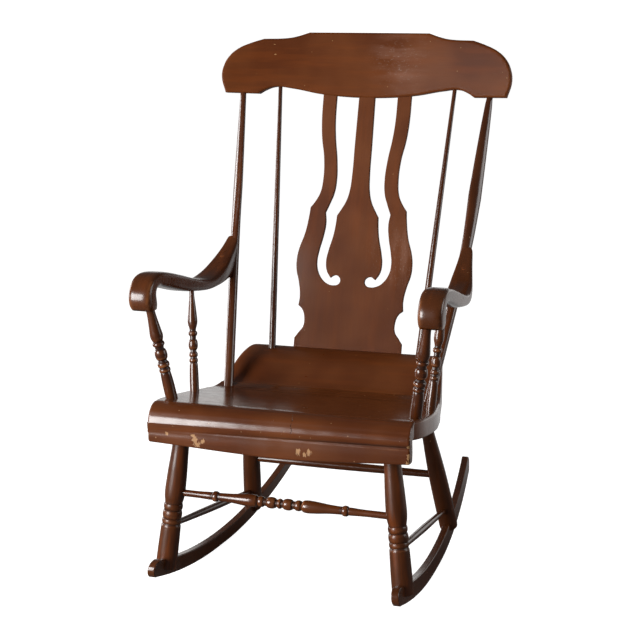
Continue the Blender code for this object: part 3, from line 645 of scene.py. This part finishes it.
def make_crest():
    half = [(0.0, -0.006), (0.100, 0.000), (0.165, 0.0115), (0.200, 0.0145), (0.222, 0.0070),
            (0.2335, 0.000, 1), (0.3030, 0.0020, 1), (0.3120, 0.036), (0.3080, 0.060), (0.2970, 0.0795),
            (0.2790, 0.0950), (0.2560, 0.1055), (0.2270, 0.1148, 1), (0.1740, 0.1168), (0.1580, 0.1198),
            (0.1300, 0.1285, 1)]
    rounding = 0.0045
    mesh = board_mesh(half[:1] + mirrored(half[1:]), CREST_HALF_THICKNESS, rounding)
    slice_across(mesh, [step * 0.012 for step in range(-25, 26)])
    local = points_of(mesh)
    across, up, back = local.T
    relief = edge_relief(back, CREST_HALF_THICKNESS, rounding)
    bow = -CREST_BOW * (across / CREST_BOW_SPAN) ** 2
    world = np.stack([across,
                      up * math.sin(CREST_LEAN) + back * math.cos(CREST_LEAN) + bow,
                      up * math.cos(CREST_LEAN) - back * math.sin(CREST_LEAN)], 1)
    nicks = [((0.103, -0.011, -0.203), 0.0013), ((0.082, -0.011, -0.201), 0.0016),
             ((0.128, -0.006, -0.090), 0.0022)]
    # The crest's scuff: whitish scratches and a faint pale smear that is partly a painted sheen.
    scuff_and_sheen = ((0.075, -0.011, 0.070), 0.085)
    material = paint("crest_rail", 1, 0.92, wear=0.4, chips=0.3, gloss=0.1, nicks=nicks, scuff_and_sheen=scuff_and_sheen)
    place_board("crest_rail", mesh, world, local[:, [1, 2, 0]], relief, material)


def make_splat():
    tenon = 0.016
    top = 0.5345 + tenon
    outer = [(0.1165, -tenon, 1), (0.1165, 0.017, 1), (0.108, 0.029), (0.0995, 0.041), (0.098, 0.058),
             (0.104, 0.077), (0.1135, 0.0855, 1), (0.112, 0.105), (0.117, 0.1355), (0.124, 0.160),
             (0.1252, 0.184), (0.1225, 0.203), (0.1118, 0.238), (0.106, 0.273), (0.1042, 0.293, 1),
             (0.0938, 0.3075), (0.0854, 0.325), (0.0816, 0.350), (0.0835, 0.399), (0.0913, 0.440),
             (0.0952, 0.481), (0.0960, 0.533, 1), (0.0960, top, 1)]
    slot = [(0.0666, top, 1), (0.0666, 0.533, 1), (0.0655, 0.475), (0.062, 0.440), (0.0552, 0.396),
            (0.0525, 0.352), (0.0555, 0.325), (0.062, 0.306), (0.0708, 0.284, 1), (0.0682, 0.262),
            (0.0715, 0.234), (0.0785, 0.202), (0.0810, 0.180), (0.0775, 0.160), (0.067, 0.143),
            (0.0545, 0.134), (0.040, 0.1312), (0.0295, 0.1345), (0.0263, 0.143), (0.0310, 0.1505),
            (0.0395, 0.1525), (0.0485, 0.147, 1), (0.0575, 0.1615), (0.0604, 0.182), (0.0574, 0.202),
            (0.0493, 0.235), (0.0462, 0.256), (0.0446, 0.278, 1), (0.037, 0.2905), (0.027, 0.3095),
            (0.0212, 0.332), (0.0189, 0.361), (0.0183, 0.430), (0.0172, 0.533, 1), (0.0172, top, 1)]
    rounding = 0.0012
    mesh = board_mesh(mirrored(outer + slot), SPLAT_HALF_THICKNESS, rounding, steps=6)
    local = points_of(mesh)
    across, up, back = local.T
    lean = math.atan(SPLAT_SLOPE)
    world = np.stack([across, up * math.sin(lean) + back * math.cos(lean),
                      up * math.cos(lean) - back * math.sin(lean)], 1)
    relief = edge_relief(back, SPLAT_HALF_THICKNESS, rounding)
    # On the splat's right shoulder the pale smear is a painted sheen, with a few scratches.
    material = paint("back_splat", 2, 0.9, wear=0.35, chips=0.2, gloss=0.2, scuff_and_sheen=((0.10, 0.0, 0.20), 0.095))
    place_board("back_splat", mesh, world, local[:, [0, 2, 1]], relief, material)


# ---------------------------------------------------------------- posts, spindles and arms

def make_post(label, side, seed):
    """A post through the CAD node's own section centres, flattened where its stations say so."""
    node = "back_post_" + label
    low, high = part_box(node)
    heights, widths, depths = np.array(POST_STATIONS).T
    levels = np.linspace(low.z + 0.010, high.z - 0.005, 72)
    centres = np.array([section(node, 2, level)[0] for level in levels])
    flat = (side * math.cos(POST_TURN), math.sin(POST_TURN), 0.0)
    wide, deep = np.interp(levels, heights, widths), np.interp(levels, heights, depths)
    material = paint(node, seed, 0.55, wear=0.2, gloss=1.1, streaks=0.35)
    sweep_rod(node, centres, wide, deep, flat, material)


def heights_to_distances(top, bottom, stations):
    scale = (bottom - top).length / (top.z - bottom.z)
    return [((top.z - height) * scale, radius) for height, radius in stations]


def turn_upright(node, levels, radii, stations, material):
    """A turned upright piece whose stations are (height, radius), from the top down."""
    bottom, top = tips(node, 2, levels, radii)
    turn_on_lathe(node, top, bottom, heights_to_distances(top, bottom, stations), material)


def make_back_spindle(label, seed):
    node = "back_spindle_" + label
    stations = curve((0.940, 0.0043), (0.915, 0.0043), (0.660, 0.0060), (0.420, 0.0073), (0.385, 0.0073))
    material = paint(node, seed, 0.55, wear=0.2, gloss=1.1)
    turn_upright(node, (0.45, 0.85), (0.0073, 0.0043), stations, material)


def make_front_arm_spindle(label, seed):
    node = "arm_front_spindle_" + label
    stations = curve((0.553, 0.0085), (0.530, 0.0086), (0.505, 0.0109), (0.489, 0.0125), (0.4805, 0.0107),
                     (0.4770, 0.0090))
    stations += bead(0.4725, 0.0040, 0.0090, 0.0118) + bead(0.4515, 0.0105, 0.0080, 0.0121)
    stations += bead(0.4315, 0.0052, 0.0088, 0.0117) + bead(0.4205, 0.0040, 0.0092, 0.0111)
    stations += curve((0.4150, 0.0098), (0.4120, 0.0104), (0.3880, 0.0114), (0.350, 0.0114))
    material = paint(node, seed, 0.55, wear=0.75, chips=0.3, streaks=0.6)
    turn_upright(node, (0.380, 0.510), (0.0114, 0.0085), stations, material)


def make_rear_arm_spindle(label, seed):
    node = "arm_rear_spindle_" + label
    stations = curve((0.556, 0.0050), (0.538, 0.0051), (0.510, 0.0079), (0.486, 0.0098), (0.4745, 0.0072),
                     (0.4700, 0.0063))
    stations += bead(0.4630, 0.0047, 0.0063, 0.0090) + bead(0.4410, 0.0105, 0.0060, 0.0094)
    stations += bead(0.4215, 0.0047, 0.0066, 0.0088) + bead(0.4100, 0.0040, 0.0070, 0.0087)
    stations += curve((0.4045, 0.0076), (0.4000, 0.0082), (0.3740, 0.0091), (0.332, 0.0091))
    material = paint(node, seed, 0.55, wear=0.7, chips=0.2, streaks=0.5)
    turn_upright(node, (0.370, 0.520), (0.0091, 0.0050), stations, material)


# Arm cross-sections from the tail to the scroll's foot:
# upper y and z, lower y and z, inner x and outer x.
ARM_STATIONS = [
    (0.1085, 0.6260, 0.0738, 0.5450, 0.2372, 0.2650),
    (0.0850, 0.6075, 0.0540, 0.5425, 0.2362, 0.2700),
    (0.0450, 0.5830, 0.0250, 0.5395, 0.2352, 0.2790),
    (0.0050, 0.5655, -0.0030, 0.5375, 0.2365, 0.2870),
    (-0.0450, 0.5590, -0.0450, 0.5365, 0.2405, 0.2925),
    (-0.1000, 0.5705, -0.0940, 0.5420, 0.2450, 0.2960),
    (-0.1500, 0.5845, -0.1420, 0.5505, 0.2485, 0.2985),
    (-0.2000, 0.5975, -0.1900, 0.5630, 0.2508, 0.3005),
    (-0.2350, 0.6048, -0.2280, 0.5735, 0.2528, 0.3015),
    (-0.2620, 0.6068, -0.2540, 0.5805, 0.2542, 0.3022),
    (-0.2850, 0.6025, -0.2680, 0.5795, 0.2550, 0.3027),
    (-0.3020, 0.5915, -0.2745, 0.5740, 0.2553, 0.3030),
    (-0.3120, 0.5775, -0.2750, 0.5665, 0.2553, 0.3030),
    (-0.3155, 0.5625, -0.2720, 0.5575, 0.2553, 0.3028),
    (-0.3125, 0.5485, -0.2700, 0.5485, 0.2556, 0.3020),
    (-0.3060, 0.5400, -0.2705, 0.5400, 0.2570, 0.2995),
]


def make_arm(label, side, seed):
    """The arm swept from its tail at the post, along the dip and over into the scroll."""
    around = 40
    stations = smooth_path(ARM_STATIONS, 0.006)
    upper, lower, inner, outer = stations[:, 0:2], stations[:, 2:4], stations[:, 4], stations[:, 5]
    lengths = np.concatenate([[0], np.cumsum(np.linalg.norm(np.diff((upper + lower) / 2, axis=0), axis=1))])
    turns = 2 * math.pi * (np.arange(around) + 0.5) / around
    sideways = np.copysign(np.abs(np.cos(turns)) ** 0.5, np.cos(turns))
    upwards = np.copysign(np.abs(np.sin(turns)) ** 0.5, np.sin(turns))
    points, grain = [], []
    for low, high, near, far, length in zip(lower, upper, inner, outer, lengths):
        middle, half = (low + high) / 2, (high - low) / 2
        for across, up in zip(sideways, upwards):
            x = (near + far) / 2 + across * (far - near) / 2
            y, z = middle + half * up
            points.append((side * x, y, z))
            grain.append((across * 0.023, up * np.linalg.norm(half), length))
    corners = np.abs(np.sin(2 * turns)) ** 4
    scroll = np.clip((lengths - 0.36) / 0.06, 0, 1)
    relief = corners[None, :] * (0.35 + 0.55 * scroll[:, None]) + 0.3 * scroll[:, None]
    mesh = mesh_of(fit_to(np.array(points), "arm_" + label), skin_faces(len(stations), around))
    # The arms' brown is scaled down to 0.62, partly painted shade that darkens them as if little light fell
    # from above.
    material = paint("arm_" + label, seed, 0.62, wear=0.5, chips=0.35, specks=0.8, gloss=0.9, streaks=0.35)
    add_piece("arm_" + label, mesh, grain, relief, material)


def make_plug(label, seed):
    """The round wooden plug in the arm's tail, slightly domed and rubbed pale."""
    node = "arm_plug_" + label
    low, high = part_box(node)
    middle = (low + high) / 2
    outward = Vector(PLUG_FACING)
    top, bottom = middle + outward * 0.0032, middle - outward * 0.0028
    stations = [(0.0000, 0.0015), (0.0002, 0.0028), (0.0006, 0.0038), (0.0012, 0.0044), (0.0055, 0.0045)]
    turn_on_lathe(node, top, bottom, stations, paint(node, seed, 1.5, wear=0.9))


# ---------------------------------------------------------------- runners, legs and stretchers

def make_front_leg(label, seed):
    node = "front_leg_" + label
    stations = curve((0.350, 0.0157), (0.308, 0.0157), (0.275, 0.0163), (0.235, 0.0184), (0.205, 0.0195),
                     (0.192, 0.0196), (0.181, 0.0188), (0.1740, 0.0174), (0.1700, 0.0168))
    stations += bead(0.1635, 0.0058, 0.0167, 0.0183) + bead(0.1480, 0.0080, 0.0163, 0.0187)
    stations += bead(0.1345, 0.0050, 0.0168, 0.0185)
    stations += curve((0.1280, 0.0174), (0.1255, 0.0187), (0.0800, 0.0199), (0.0440, 0.0200))
    material = paint(node, seed, 0.52, wear=0.6, chips=0.35, gloss=0.7, streaks=1.0)
    turn_upright(node, (0.085, 0.255), (0.0199, 0.0157), stations, material)


def make_rear_leg(label, seed):
    node = "rear_leg_" + label
    stations = curve((0.320, 0.0115), (0.286, 0.0115), (0.240, 0.0135), (0.200, 0.0160), (0.155, 0.0180),
                     (0.100, 0.0189), (0.035, 0.0189))
    # The rear legs' brown is the darkest, 0.45, partly painted shade under the seat.
    material = paint(node, seed, 0.45, wear=0.3, gloss=0.7, streaks=0.7)
    turn_upright(node, (0.105, 0.235), (0.0189, 0.0115), stations, material)


def make_front_stretcher(seed):
    """Its five beads and two long swellings are centred a little to the left of its middle."""
    node = "front_stretcher"
    left, right = tips(node, 0, (-0.185, 0.185), (0.0066, 0.0066))
    half = (bead(0.0, 0.0036, 0.0074, 0.0097)[5::-1] + bead(0.0165, 0.0090, 0.0074, 0.0111)[::-1]
            + bead(0.0370, 0.0058, 0.0076, 0.0103)[::-1]
            + curve((0.0450, 0.0092), (0.0475, 0.0111), (0.0560, 0.0122), (0.0720, 0.0113), (0.0960, 0.0088),
                    (0.1180, 0.0077))
            + bead(0.1285, 0.0056, 0.0076, 0.0102)[::-1]
            + curve((0.1350, 0.0074), (0.1400, 0.0076), (0.1650, 0.0066), (0.2080, 0.0066)))
    middle = (right - left).length / 2 + STRETCHER_SHIFT
    stations = [(middle - distance, radius) for distance, radius in reversed(half[1:])]
    stations += [(middle + distance, radius) for distance, radius in half]
    material = paint(node, seed, 0.7, wear=0.8, chips=0.3, streaks=0.5)
    turn_on_lathe(node, left, right, stations, material)


def make_plain_stretcher(node, axis, levels, radii, seed):
    """A plain round stretcher, fullest a little inside its ends: radii at the ends and the middle."""
    end, middle = radii
    low, high = tips(node, axis, levels, (end, end))
    length = (high - low).length
    stations = curve((0.0, end), (0.03, end), (length / 2, middle), (length - 0.03, end), (length, end))
    turn_on_lathe(node, low, high, stations, paint(node, seed, 0.6, wear=0.25))


def arc(start, end, count, centre_y, foot, radius):
    """Corner points from `start` to `end` on an arc that touches `foot` at `centre_y` and curves upwards."""
    return [(y, foot + radius - math.sqrt(radius ** 2 - (y - centre_y) ** 2), 1)
            for y in np.linspace(start, end, count)]


def make_runner(label, side, seed):
    node = "runner_" + label
    flat_front, flat_back = SOLE_FLAT
    front = arc(-0.365, flat_front, 24, flat_front, 0.0, SOLE_FRONT_RADIUS)
    back = arc(flat_back, 0.364, 30, flat_back, 0.0, SOLE_BACK_RADIUS)
    top = arc(0.356, -0.350, 50, *RUNNER_TOP, RUNNER_TOP_RADIUS)
    outline = [(-0.3710, 0.0450), (-0.3675, 0.0415)] + front[1:] + back
    outline += [(0.3710, 0.0938), (0.3755, 0.1020), (0.3735, 0.1095), (0.3660, 0.1125)] + top
    outline += [(-0.3600, 0.0705), (-0.3700, 0.0668), (-0.3750, 0.0585), (-0.3745, 0.0505)]
    rounding = 0.0022
    mesh = board_mesh(outline, RUNNER_HALF_THICKNESS, rounding, steps=4)
    local = points_of(mesh)
    along, up, across = local.T
    lateral = across - RUNNER_TOE_IN * along - RUNNER_LEAN * up
    world = np.stack([side * lateral, along, up], 1)
    relief = edge_relief(across, RUNNER_HALF_THICKNESS, rounding)
    material = paint(node, seed, 0.55, wear=0.5, chips=0.35)
    place_board(node, mesh, world, local[:, [1, 2, 0]], relief, material)


# ---------------------------------------------------------------- studio

def make_floor():
    """A wide pale floor, nearly white to the camera. Behind the chair it also glows into the reflections."""
    bpy.ops.mesh.primitive_plane_add(size=80.0, location=(0.0, 0.0, -0.0005))
    floor = bpy.context.object
    floor.name = "floor"
    material = bpy.data.materials.new("pale_floor")
    material.use_nodes = True
    tree = material.node_tree
    tree.nodes.clear()
    nodes = Nodes(tree)
    seen = nodes.add("ShaderNodeEmission", {"Color": (1.0, 1.0, 1.0, 1.0), "Strength": 0.98})
    shaded = nodes.add("ShaderNodeBsdfDiffuse", {"Color": (0.45, 0.45, 0.45, 1.0)})
    lit = nodes.add("ShaderNodeAddShader", {0: seen.outputs[0], 1: shaded.outputs[0]})
    dim = nodes.add("ShaderNodeBsdfDiffuse", {"Color": (0.16, 0.155, 0.15, 1.0)})
    place = nodes.add("ShaderNodeNewGeometry").outputs["Position"]
    behind = nodes.step(nodes.add("ShaderNodeSeparateXYZ", {0: place}).outputs["Y"], 0.2, 1.4)
    sweep = nodes.add("ShaderNodeEmission", {"Strength": nodes.times(behind, 0.55)})
    bounce = nodes.add("ShaderNodeAddShader", {0: dim.outputs[0], 1: sweep.outputs[0]})
    by_camera = nodes.add("ShaderNodeLightPath").outputs["Is Camera Ray"]
    mixed = nodes.add("ShaderNodeMixShader", {0: by_camera, 1: bounce.outputs[0], 2: lit.outputs[0]})
    nodes.add("ShaderNodeOutputMaterial", {"Surface": mixed.outputs[0]})
    floor.data.materials.append(material)


def make_world():
    """White to the camera. For the chair it is dim, apart from a low pale band behind and to the left."""
    world = bpy.data.worlds.new("studio")
    bpy.context.scene.world = world
    world.use_nodes = True
    tree = world.node_tree
    tree.nodes.clear()
    nodes = Nodes(tree)
    direction = nodes.add("ShaderNodeTexCoord").outputs["Generated"]
    back = nodes.add("ShaderNodeVectorMath", {0: direction, 1: BACKDROP_BEARING}, operation="DOT_PRODUCT")
    height = nodes.add("ShaderNodeSeparateXYZ", {0: direction}).outputs["Z"]
    low = nodes.minus(1.0, nodes.step(height, 0.02, 0.25))
    glow = nodes.times(nodes.step(back.outputs["Value"], 0.25, 0.65), low)
    glow = nodes.plus(nodes.times(glow, BACKDROP_GLOW), ROOM_GLOW)
    by_camera = nodes.add("ShaderNodeLightPath").outputs["Is Camera Ray"]
    strength = nodes.most(glow, by_camera)
    background = nodes.add("ShaderNodeBackground", {"Color": (1.0, 0.99, 0.975, 1.0), "Strength": strength})
    nodes.add("ShaderNodeOutputWorld", {"Surface": background.outputs[0]})


def add_softbox(name, place, target, size, power):
    data = bpy.data.lights.new(name, "AREA")
    data.shape = "RECTANGLE"
    data.size, data.size_y = size
    data.energy = power
    light = bpy.data.objects.new(name, data)
    bpy.context.scene.collection.objects.link(light)
    light.location = place
    light.rotation_euler = (Vector(target) - Vector(place)).to_track_quat("-Z", "Y").to_euler()


def make_camera():
    data = bpy.data.cameras.new("camera")
    data.lens = CAMERA_LENS
    data.sensor_width = 36.0
    camera = bpy.data.objects.new("camera", data)
    bpy.context.scene.collection.objects.link(camera)
    camera.matrix_world = (Matrix.Translation(CAMERA_PLACE) @ Matrix.Rotation(CAMERA_BEARING, 4, "Z")
                           @ Matrix.Rotation(math.pi / 2 - CAMERA_TILT, 4, "X"))
    bpy.context.scene.camera = camera


def make_studio():
    make_floor()
    make_world()
    for softbox in SOFTBOXES:
        add_softbox(*softbox)
    make_camera()
    bpy.context.scene.view_settings.view_transform = "Standard"


# ---------------------------------------------------------------- assembly

make_seat()
make_crest()
make_splat()
for label, side, seed in (("left", -1, 10), ("right", 1, 30)):
    make_post(label, side, seed)
    make_back_spindle(label, seed + 1)
    make_arm(label, side, seed + 2)
    make_plug(label, seed + 3)
    make_front_arm_spindle(label, seed + 4)
    make_rear_arm_spindle(label, seed + 5)
    make_front_leg(label, seed + 6)
    make_rear_leg(label, seed + 7)
    make_runner(label, side, seed + 8)
    make_plain_stretcher("side_stretcher_" + label, 1, (-0.20, 0.05), (0.0055, 0.0072), seed + 9)
make_front_stretcher(6)
make_plain_stretcher("back_stretcher", 0, (-0.15, 0.15), (0.0076, 0.0088), 7)
make_studio()
